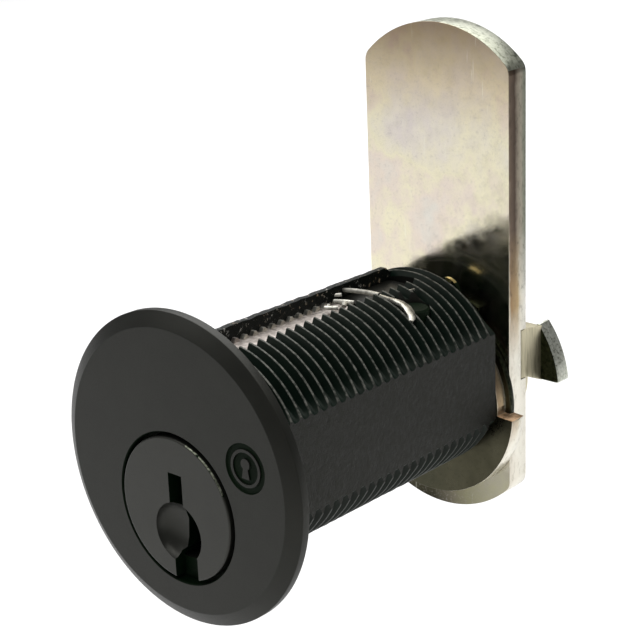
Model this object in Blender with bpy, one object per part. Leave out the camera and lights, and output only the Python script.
"""Threaded pin-tumbler cam lock, built as separate pieces.

World frame: the barrel's axis runs along Y, the keyed face looks toward -Y, and the cam stands up
along +Z behind the barrel. The origin is the centre of the flange's back face, which is the front
surface of the panel that the lock is fitted in. Every piece that turns with the key is drawn around
the plug's own axis, which lies PLUG_DROP below the barrel's axis.
"""

import math

import bmesh
import bpy
from mathutils import Matrix, Vector

MM = 0.001

# Driving dimensions, in millimetres until the helpers turn them into metres.
THREAD_RADIUS = 9.525        # three quarter inch thread
THREAD_DEPTH = 0.72
THREAD_PITCH = 25.4 / 22
FLAT_HALF_WIDTH = 8.3
BARREL_LENGTH = 31.75
FLANGE_RADIUS = 13.72
FLANGE_RIM = 0.79
FLANGE_THICKNESS = 1.47
FACE_RADIUS = 12.47

PLUG_DROP = 3.27
PLUG_RADIUS = 4.6
PLUG_HEAD_RADIUS = 6.42
PLUG_HEAD_SEAT_RADIUS = 6.69
PLUG_HEAD_SEAT_DEPTH = 1.0
PLUG_PROUD = 0.15
RUNNING_GAP = 0.15

PIN_COUNT = 5
FIRST_PIN = 4.6
PIN_SPACING = 3.9
PIN_RADIUS = 1.35
CHAMBER_RADIUS = 1.42
KEY_PIN_TOP = 1.1
KEY_PIN_LENGTHS = [5.0, 4.2, 5.4, 4.6, 4.9]
DRIVER_PIN_BOTTOM = 1.42
DRIVER_PIN_LENGTH = 3.0
PIN_BORE_FLOOR = -5.2

SLOT_LEFT = -2.95
SLOT_RIGHT = 1.5
SLOT_FLOOR = 7.4
COVER_THICKNESS = 0.75
COVER_LENGTH = 21.4
COVER_LIP_TOP = 9.75
COVER_LIP_LENGTH = 30.4
REAR_SLOT_FLOOR = 8.35
REAR_SLOT_END = 29.4

RETAINING_PIN_X = 4.3
RETAINING_PIN_Y = 24.9
RETAINING_PIN_RADIUS = 0.85
RETAINING_HEAD_RADIUS = 1.42
RETAINING_HEAD_TOP = 8.1
STOP_PIN_X = 2.6
STOP_PIN_Z = 7.5
STOP_PIN_HEAD = 1.3

TAIL_RADIUS = 3.4
TAIL_FLAT = 2.75
TAIL_END = 40.4
SCREW_RADIUS = 1.9

STOP_WASHER_FRONT = 31.95
STOP_WASHER_THICKNESS = 1.9
STOP_WASHER_RADIUS = 10.1
STOP_WASHER_STEP = 1.25
FRONT_WAIST = 8.35
REAR_WAIST = 8.95

CAM_FRONT = 33.9
CAM_THICKNESS = 2.65
CAM_HALF_WIDTH = 8.33
CAM_TOP = 32.2
CAM_BOTTOM = -15.44
CAM_END_RADIUS = 11.33
CAM_GROOVE_DEPTH = 0.8

RETAINER_LOW = -1.2
RETAINER_HIGH = 3.55
RETAINER_SKEW = 0.95
EAR_LOW = -2.35
EAR_ANGLE = 40
RETAINER_NECK = 2.9
RETAINER_HEAD = 1.45
RETAINER_RADIUS = 10.35
RETAINER_HUB_RADIUS = 5.6

CAM_BACK = CAM_FRONT + CAM_THICKNESS
RETAINER_BACK = CAM_BACK + RETAINER_NECK + RETAINER_HEAD


def clear_scene():
    """Remove every object, so that the script can be run again."""
    for item in list(bpy.data.objects):
        bpy.data.objects.remove(item, do_unlink=True)


def make_material(name, color, roughness, metallic):
    """One plain surface for one piece."""
    material = bpy.data.materials.new(name)
    material.use_nodes = True
    shader = material.node_tree.nodes["Principled BSDF"]
    shader.inputs["Base Color"].default_value = (*color, 1.0)
    shader.inputs["Roughness"].default_value = roughness
    shader.inputs["Metallic"].default_value = metallic
    material.diffuse_color = (*color, 1.0)
    return material


def finish_mesh(name, bm, material=None, parent=None):
    """Turn a bmesh in millimetres into a named object with outward faces."""
    bmesh.ops.remove_doubles(bm, verts=bm.verts, dist=0.0005)
    bmesh.ops.recalc_face_normals(bm, faces=bm.faces)
    bmesh.ops.scale(bm, vec=Vector((MM, MM, MM)), verts=bm.verts)
    mesh = bpy.data.meshes.new(name)
    bm.to_mesh(mesh)
    bm.free()
    item = bpy.data.objects.new(name, mesh)
    bpy.context.collection.objects.link(item)
    if material:
        mesh.materials.append(material)
    if parent:
        item.parent = parent
        item.matrix_parent_inverse = parent.matrix_world.inverted()
    return item


def make_joint_empty(name, location):
    """An empty on a joint's axis, which carries the pieces that move on it."""
    empty = bpy.data.objects.new(name, None)
    empty.empty_display_size = 4 * MM
    empty.location = Vector(location) * MM
    bpy.context.collection.objects.link(empty)
    bpy.context.view_layer.update()
    return empty


def lathe(profile, steps, centre=(0.0, 0.0)):
    """Spin a profile of (radius, y) points about a line parallel to Y through centre (x, z)."""
    bm = bmesh.new()
    verts = [bm.verts.new((radius, y, 0.0)) for radius, y in profile]
    edges = [bm.edges.new(pair) for pair in zip(verts, verts[1:])]
    bmesh.ops.spin(bm, geom=verts + edges, cent=(0, 0, 0), axis=(0, 1, 0), angle=math.tau,
                   steps=steps, use_merge=True, use_normal_flip=False)
    bmesh.ops.remove_doubles(bm, verts=bm.verts, dist=0.0005)
    bmesh.ops.dissolve_degenerate(bm, dist=0.0005, edges=bm.edges)
    bmesh.ops.translate(bm, vec=(centre[0], 0.0, centre[1]), verts=bm.verts)
    return bm


def prism(outline, front, back):
    """Extrude an outline of (x, z) points along Y."""
    bm = bmesh.new()
    face = bm.faces.new([bm.verts.new((x, front, z)) for x, z in outline])
    grown = bmesh.ops.extrude_face_region(bm, geom=[face])["geom"]
    moved = [part for part in grown if isinstance(part, bmesh.types.BMVert)]
    bmesh.ops.translate(bm, vec=(0.0, back - front, 0.0), verts=moved)
    return bm


def box(low, high):
    """A block between two corners."""
    bm = bmesh.new()
    bmesh.ops.create_cube(bm, size=1.0)
    size = [b - a for a, b in zip(low, high)]
    middle = [(a + b) / 2 for a, b in zip(low, high)]
    bmesh.ops.scale(bm, vec=size, verts=bm.verts)
    bmesh.ops.translate(bm, vec=middle, verts=bm.verts)
    return bm


def upright_cylinder(x, y, radius, bottom, top, steps=16):
    """A cylinder that stands along Z."""
    bm = bmesh.new()
    place = Matrix.Translation((x, y, (bottom + top) / 2))
    bmesh.ops.create_cone(bm, cap_ends=True, segments=steps, radius1=radius, radius2=radius,
                          depth=top - bottom, matrix=place)
    return bm


def arc(centre, radius, start, end, steps):
    """Points (x, z) on an arc, with angles in degrees from +X toward +Z."""
    points = []
    for step in range(steps + 1):
        angle = math.radians(start + (end - start) * step / steps)
        points.append((centre[0] + radius * math.cos(angle), centre[1] + radius * math.sin(angle)))
    return points


def apply_boolean(item, bm, operation="DIFFERENCE"):
    """Add a Boolean modifier whose operand is a hidden object."""
    operand = finish_mesh(item.name + "_" + operation.lower(), bm)
    operand.hide_render = True
    operand.display_type = "WIRE"
    operand.hide_set(True)
    modifier = item.modifiers.new("shape", "BOOLEAN")
    modifier.operation = operation
    modifier.solver = "EXACT"
    modifier.object = operand
    return item


def shade(item, degrees=35):
    """Smooth the round faces and keep the corners sharp."""
    item.data.shade_smooth()
    item.data.set_sharp_from_angle(angle=math.radians(degrees))


def pin_positions():
    """The place of each pin stack along the barrel."""
    return [FIRST_PIN + PIN_SPACING * index for index in range(PIN_COUNT)]


def double_d(radius, flat, steps=8):
    """Outline (x, z) of the plug's tail: a circle about the plug's axis with two flats."""
    corner = math.degrees(math.acos(flat / radius))
    top = arc((0.0, -PLUG_DROP), radius, corner, 180 - corner, steps)
    bottom = arc((0.0, -PLUG_DROP), radius, 180 + corner, 360 - corner, steps)
    return top + bottom


def build_barrel_housing(material):
    """Flange and threaded barrel in one turning, with flats, bores, chambers and the top slot."""
    root = THREAD_RADIUS - THREAD_DEPTH
    profile = [(0.0, -FLANGE_THICKNESS), (FACE_RADIUS, -FLANGE_THICKNESS)]
    shoulder = THREAD_RADIUS + 0.03
    profile += [(FLANGE_RADIUS, -FLANGE_RIM), (FLANGE_RADIUS, 0.0), (shoulder, 0.0)]
    profile += [(shoulder, 0.2), (root, 0.4)]
    crest = 1.2
    while crest < BARREL_LENGTH - THREAD_PITCH:
        profile.append((root, crest - THREAD_PITCH / 2))
        profile.append((THREAD_RADIUS, crest))
        crest += THREAD_PITCH
    profile += [(root, crest - THREAD_PITCH / 2), (root, BARREL_LENGTH), (0.0, BARREL_LENGTH)]
    barrel = finish_mesh("barrel_housing", lathe(profile, 44), material)

    for side in (-1, 1):
        near = side * FLAT_HALF_WIDTH
        far = side * (FLAT_HALF_WIDTH + 4)
        low = (min(near, far), 0.0, -12)
        high = (max(near, far), BARREL_LENGTH + 1, 12)
        apply_boolean(barrel, box(low, high))

    axis = (0.0, -PLUG_DROP)
    bore = PLUG_RADIUS + RUNNING_GAP
    seat_floor = PLUG_HEAD_SEAT_DEPTH - FLANGE_THICKNESS
    stepped_bore = [(0.0, -3.0), (PLUG_HEAD_SEAT_RADIUS, -3.0), (PLUG_HEAD_SEAT_RADIUS, seat_floor),
                    (bore, seat_floor), (bore, BARREL_LENGTH + 1), (0.0, BARREL_LENGTH + 1)]
    apply_boolean(barrel, lathe(stepped_bore, 40, axis))

    apply_boolean(barrel, box((SLOT_LEFT, 0.5, SLOT_FLOOR), (SLOT_RIGHT, COVER_LENGTH + 0.6, 11)))
    rear_slot = box((SLOT_LEFT, COVER_LENGTH + 0.3, REAR_SLOT_FLOOR), (SLOT_RIGHT, REAR_SLOT_END, 11))
    apply_boolean(barrel, rear_slot)
    lip_end = COVER_LIP_LENGTH + 0.2
    lip_slot = box((SLOT_LEFT, COVER_LENGTH + 2, REAR_SLOT_FLOOR), (SLOT_LEFT + 0.78, lip_end, 11))
    apply_boolean(barrel, lip_slot)
    for place in pin_positions():
        apply_boolean(barrel, upright_cylinder(0.0, place, CHAMBER_RADIUS, 0.0, SLOT_FLOOR + 0.4))

    pin = (RETAINING_PIN_X, RETAINING_PIN_Y)
    apply_boolean(barrel, upright_cylinder(*pin, RETAINING_PIN_RADIUS + 0.06, -5.0, 5.5))
    apply_boolean(barrel, upright_cylinder(*pin, 1.5, 4.6, 11))
    stop_hole = [(0.0, 28.6), (0.81, 28.6), (0.81, BARREL_LENGTH + 1), (0.0, BARREL_LENGTH + 1)]
    apply_boolean(barrel, lathe(stop_hole, 16, (STOP_PIN_X, STOP_PIN_Z)))
    shade(barrel)
    return barrel


def build_plug(material, parent):
    """The keyed cylinder: head, body with pin bores and keyway, retaining groove and flatted tail."""
    axis = (0.0, -PLUG_DROP)
    head_front = -FLANGE_THICKNESS - PLUG_PROUD
    head_back = PLUG_HEAD_SEAT_DEPTH - FLANGE_THICKNESS - 0.1
    groove = RETAINING_PIN_X - RETAINING_PIN_RADIUS - 0.15
    profile = [(0.0, head_front), (PLUG_HEAD_RADIUS - 0.15, head_front),
               (PLUG_HEAD_RADIUS, head_front + 0.15), (PLUG_HEAD_RADIUS, head_back),
               (PLUG_RADIUS, head_back), (PLUG_RADIUS, RETAINING_PIN_Y - 1.0),
               (groove, RETAINING_PIN_Y - 1.0), (groove, RETAINING_PIN_Y + 1.0),
               (PLUG_RADIUS, RETAINING_PIN_Y + 1.0), (PLUG_RADIUS, BARREL_LENGTH),
               (TAIL_RADIUS, BARREL_LENGTH), (TAIL_RADIUS, TAIL_END), (0.0, TAIL_END)]
    plug = finish_mesh("plug", lathe(profile, 36, axis), material, parent)

    for side in (-1, 1):
        edges = sorted((side * TAIL_FLAT, side * (TAIL_FLAT + 3)))
        low = (edges[0], BARREL_LENGTH + 0.05, -10)
        apply_boolean(plug, box(low, (edges[1], TAIL_END + 1, 5)))

    keyway = [(-0.45, 3.3), (1.1, 3.3), (1.1, 0.5), (1.6, -0.2), (1.75, -1.2), (2.0, -2.0), (2.0, -3.6),
              (2.25, -4.0), (2.25, -8.0), (-0.1, -8.0), (-0.1, -4.2), (0.35, -3.8), (0.35, -1.9),
              (0.8, -1.4), (0.65, 0.1), (-0.45, 0.5)]
    outline = [(x, z - PLUG_DROP) for x, z in keyway]
    apply_boolean(plug, prism(outline, -4.0, RETAINING_PIN_Y - 2.4))
    dish = [(0.0, -4.0), (2.69, -4.0), (2.69, head_front), (2.3, head_front + 0.75),
            (1.7, head_front + 1.1), (0.0, head_front + 1.35)]
    apply_boolean(plug, lathe(dish, 24, (0.36, -PLUG_DROP - 1.75)))
    for place in pin_positions():
        apply_boolean(plug, upright_cylinder(0.0, place, CHAMBER_RADIUS, PIN_BORE_FLOOR, 3.0))
    screw_hole = [(0.0, 28.0), (SCREW_RADIUS + 0.12, 28.0), (SCREW_RADIUS + 0.12, 45.0), (0.0, 45.0)]
    apply_boolean(plug, lathe(screw_hole, 16, axis))
    shade(plug)
    return plug


def build_key_pin(index, place, material, parent):
    """A tapered-nose pin that rides on the key inside the plug."""
    length = KEY_PIN_LENGTHS[index]
    joint = make_joint_empty("key_pin_%d_slide" % (index + 1), (0.0, place, KEY_PIN_TOP))
    bm = upright_cylinder(0.0, place, PIN_RADIUS, KEY_PIN_TOP - length, KEY_PIN_TOP)
    bottom = [v for v in bm.verts if v.co.z < KEY_PIN_TOP - length / 2]
    ring = [edge for edge in bm.edges if all(v in bottom for v in edge.verts)]
    bmesh.ops.bevel(bm, geom=ring, offset=0.6, segments=1, affect="EDGES")
    pin = finish_mesh("key_pin_%d" % (index + 1), bm, material, joint)
    joint.parent = parent
    joint.matrix_parent_inverse = parent.matrix_world.inverted()
    shade(pin)
    return pin


def build_driver_pin(index, place, material):
    """A straight pin that the spring pushes down onto the shear line."""
    top = DRIVER_PIN_BOTTOM + DRIVER_PIN_LENGTH
    joint = make_joint_empty("driver_pin_%d_slide" % (index + 1), (0.0, place, DRIVER_PIN_BOTTOM))
    bm = upright_cylinder(0.0, place, PIN_RADIUS, DRIVER_PIN_BOTTOM, top)
    pin = finish_mesh("driver_pin_%d" % (index + 1), bm, material, joint)
    shade(pin)
    return pin


def build_pin_spring(index, place, material):
    """A coil spring between the driver pin and the chamber cover."""
    bottom = DRIVER_PIN_BOTTOM + DRIVER_PIN_LENGTH + 0.2
    top = SLOT_FLOOR - 0.18
    turns = 4
    steps = 10
    curve = bpy.data.curves.new("pin_spring_%d" % (index + 1), "CURVE")
    curve.dimensions = "3D"
    curve.bevel_depth = 0.15 * MM
    curve.bevel_resolution = 0
    curve.use_fill_caps = True
    line = curve.splines.new("POLY")
    line.points.add(turns * steps)
    for step, point in enumerate(line.points):
        angle = math.tau * step / steps
        height = bottom + (top - bottom) * step / (turns * steps)
        spot = Vector((1.02 * math.cos(angle), place + 1.02 * math.sin(angle), height)) * MM
        point.co = (*spot, 1.0)
    curve.materials.append(material)
    spring = bpy.data.objects.new(curve.name, curve)
    bpy.context.collection.objects.link(spring)
    return spring


def build_chamber_cover(material):
    """The strip that closes the pin chambers, with an upturned lip notched at the thread's pitch."""
    left = SLOT_LEFT + 0.08
    right = SLOT_RIGHT - 0.08
    bottom = SLOT_FLOOR + 0.06
    strip = box((left, 0.6, bottom), (right, COVER_LENGTH, bottom + COVER_THICKNESS))
    cover = finish_mesh("chamber_cover", strip, material)
    low = max(bottom + 0.1, REAR_SLOT_FLOOR + 0.06)
    outline = [(0.6, bottom + 0.1), (COVER_LENGTH - 0.2, bottom + 0.1), (COVER_LENGTH + 0.8, low)]
    outline.append((COVER_LIP_LENGTH, low))
    tooth = COVER_LIP_LENGTH
    while tooth > 0.6 + THREAD_PITCH:
        outline.append((tooth, COVER_LIP_TOP))
        outline.append((tooth - THREAD_PITCH / 2, COVER_LIP_TOP - 0.35))
        tooth -= THREAD_PITCH
    outline.append((0.6, COVER_LIP_TOP - 0.35))
    lip = bmesh.new()
    face = lip.faces.new([lip.verts.new((left, y, z)) for y, z in outline])
    grown = bmesh.ops.extrude_face_region(lip, geom=[face])["geom"]
    moved = [part for part in grown if isinstance(part, bmesh.types.BMVert)]
    bmesh.ops.translate(lip, vec=(0.6, 0.0, 0.0), verts=moved)
    apply_boolean(cover, lip, "UNION")
    return cover


def build_retaining_pin(material):
    """The headed dowel that runs in the plug's groove and keeps it in the barrel."""
    place = (RETAINING_PIN_X, RETAINING_PIN_Y)
    stem = upright_cylinder(*place, RETAINING_PIN_RADIUS, -4.9, 5.2)
    pin = finish_mesh("plug_retaining_pin", stem, material)
    apply_boolean(pin, upright_cylinder(*place, RETAINING_HEAD_RADIUS, 4.7, RETAINING_HEAD_TOP), "UNION")
    shade(pin)
    return pin


def build_stop_pin(material):
    """The headed stud in the barrel's rear face that the stop washer turns against."""
    shoulder = BARREL_LENGTH + 0.12
    end = BARREL_LENGTH + 0.75
    profile = [(0.0, 28.8), (0.75, 28.8), (0.75, shoulder), (STOP_PIN_HEAD, shoulder),
               (STOP_PIN_HEAD, end - 0.2), (STOP_PIN_HEAD - 0.2, end), (0.0, end)]
    pin = finish_mesh("stop_pin", lathe(profile, 16, (STOP_PIN_X, STOP_PIN_Z)), material)
    shade(pin)
    return pin


def washer_outline(waist):
    """Outline (x, z) of the stop washer: a wide sector and a finger that stand out of its waist."""
    axis = (0.0, -PLUG_DROP)
    outline = arc(axis, STOP_WASHER_RADIUS, 171.2, 356.2, 30)
    outline += arc(axis, waist, 356.2 - 360, 62, 10)
    outline += arc(axis, STOP_WASHER_RADIUS, 62, 71.6, 3)
    return outline + arc(axis, waist, 71.6, 171.2, 16)


def build_stop_washer(material, parent):
    """A keyed washer whose wide sector and finger meet the stop pin a quarter turn apart."""
    back = STOP_WASHER_FRONT + STOP_WASHER_THICKNESS
    step = STOP_WASHER_FRONT + STOP_WASHER_STEP
    washer = finish_mesh("stop_washer", prism(washer_outline(REAR_WAIST), step, back), material, parent)
    apply_boolean(washer, prism(washer_outline(FRONT_WAIST), STOP_WASHER_FRONT, step + 0.1), "UNION")
    hole = double_d(TAIL_RADIUS + 0.1, TAIL_FLAT + 0.1)
    apply_boolean(washer, prism(hole, STOP_WASHER_FRONT - 1, back + 1))
    shade(washer)
    return washer


def build_cam(material, parent):
    """The flat locking bar, with arched ends, a keyed hole and a locating groove across its back."""
    half_angle = math.degrees(math.asin(CAM_HALF_WIDTH / CAM_END_RADIUS))
    top_centre = (0.0, CAM_TOP - CAM_END_RADIUS)
    bottom_centre = (0.0, CAM_BOTTOM + CAM_END_RADIUS)
    outline = arc(top_centre, CAM_END_RADIUS, 90 - half_angle, 90 + half_angle, 16)
    outline += arc(bottom_centre, CAM_END_RADIUS, 270 - half_angle, 270 + half_angle, 16)
    cam = finish_mesh("cam", prism(outline, CAM_FRONT, CAM_BACK), material, parent)
    hole = double_d(TAIL_RADIUS + 0.1, TAIL_FLAT + 0.1)
    apply_boolean(cam, prism(hole, CAM_FRONT - 1, CAM_BACK + 1))
    low = (-CAM_HALF_WIDTH - 1, CAM_BACK - CAM_GROOVE_DEPTH, RETAINER_LOW - 0.08)
    high = (CAM_HALF_WIDTH + 1, CAM_BACK + 1, RETAINER_HIGH + 0.08)
    apply_boolean(cam, box(low, high))
    shade(cam)
    return cam


def build_cam_retainer(material, parent):
    """The winged clamp piece: a bar in the cam's groove, slanted necks, a round hub and two ears."""
    axis = (0.0, -PLUG_DROP)
    front = CAM_BACK - CAM_GROOVE_DEPTH + 0.06
    neck_back = CAM_BACK + RETAINER_NECK
    low = (-CAM_HALF_WIDTH, front, RETAINER_LOW)
    bar = finish_mesh("cam_retainer", box(low, (CAM_HALF_WIDTH, CAM_BACK + 0.05, RETAINER_HIGH)),
                      material, parent)
    low = (-CAM_HALF_WIDTH, CAM_BACK, RETAINER_LOW)
    neck = box(low, (CAM_HALF_WIDTH, neck_back + 0.2, RETAINER_HIGH))
    for vertex in neck.verts:
        if vertex.co.y > neck_back:
            vertex.co.z -= RETAINER_SKEW
    apply_boolean(bar, neck, "UNION")
    low_angle = math.degrees(math.asin((EAR_LOW + PLUG_DROP) / RETAINER_RADIUS))
    inner = 3.0
    inner_height = inner * math.tan(math.radians(EAR_ANGLE)) - PLUG_DROP
    plate = arc(axis, RETAINER_RADIUS, low_angle, EAR_ANGLE, 6)
    plate += [(inner, inner_height), (-inner, inner_height)]
    plate += arc(axis, RETAINER_RADIUS, 180 - EAR_ANGLE, 180 - low_angle, 6)
    apply_boolean(bar, prism(plate, neck_back, RETAINER_BACK), "UNION")
    hub = [(0.0, CAM_BACK + 0.1), (RETAINER_HUB_RADIUS, CAM_BACK + 0.1),
           (RETAINER_HUB_RADIUS, RETAINER_BACK), (0.0, RETAINER_BACK)]
    apply_boolean(bar, lathe(hub, 32, axis), "UNION")
    hole = double_d(TAIL_RADIUS + 0.1, TAIL_FLAT + 0.1)
    apply_boolean(bar, prism(hole, front - 1, RETAINER_BACK + 1))
    shade(bar)
    return bar


def build_lock_washer(material, parent):
    """A split ring under the screw's head."""
    axis = (0.0, -PLUG_DROP)
    outline = arc(axis, 3.5, 8, 352, 22) + arc(axis, 2.1, 352, 8, 22)
    front = RETAINER_BACK + 0.05
    washer = finish_mesh("lock_washer", prism(outline, front, front + 0.6), material, parent)
    shade(washer)
    return washer


def build_cam_screw(material, parent):
    """The slotted screw that clamps the cam stack onto the plug's tail."""
    axis = (0.0, -PLUG_DROP)
    under = RETAINER_BACK + 0.72
    profile = [(0.0, 29.0), (1.5, 29.0), (SCREW_RADIUS, 29.4), (SCREW_RADIUS, under), (3.3, under),
               (3.3, under + 1.2), (2.7, under + 1.8), (0.0, under + 1.8)]
    screw = finish_mesh("cam_screw", lathe(profile, 20, axis), material, parent)
    slot = box((-4, under + 0.9, -PLUG_DROP - 0.45), (4, under + 3, -PLUG_DROP + 0.45))
    apply_boolean(screw, slot)
    shade(screw)
    return screw


def main():
    clear_scene()
    black = make_material("black_enamel", (0.030, 0.030, 0.028), 0.42, 0.3)
    plug_black = make_material("black_plug", (0.022, 0.022, 0.021), 0.36, 0.4)
    zinc = make_material("bright_zinc", (0.62, 0.60, 0.54), 0.30, 1.0)
    washer_zinc = make_material("dull_zinc", (0.52, 0.49, 0.42), 0.36, 1.0)
    brass = make_material("brass", (0.72, 0.52, 0.24), 0.32, 1.0)
    steel = make_material("spring_steel", (0.50, 0.50, 0.50), 0.30, 1.0)
    strip = make_material("cover_strip", (0.20, 0.18, 0.17), 0.45, 0.8)

    turning = make_joint_empty("plug_axis", (0.0, 0.0, -PLUG_DROP))
    build_barrel_housing(black)
    build_plug(plug_black, turning)
    for index, place in enumerate(pin_positions()):
        build_key_pin(index, place, brass, turning)
        build_driver_pin(index, place, brass)
        build_pin_spring(index, place, steel)
    build_chamber_cover(strip)
    build_retaining_pin(steel)
    build_stop_pin(brass)
    build_stop_washer(washer_zinc, turning)
    build_cam(zinc, turning)
    build_cam_retainer(zinc, turning)
    build_lock_washer(steel, turning)
    build_cam_screw(steel, turning)


main()
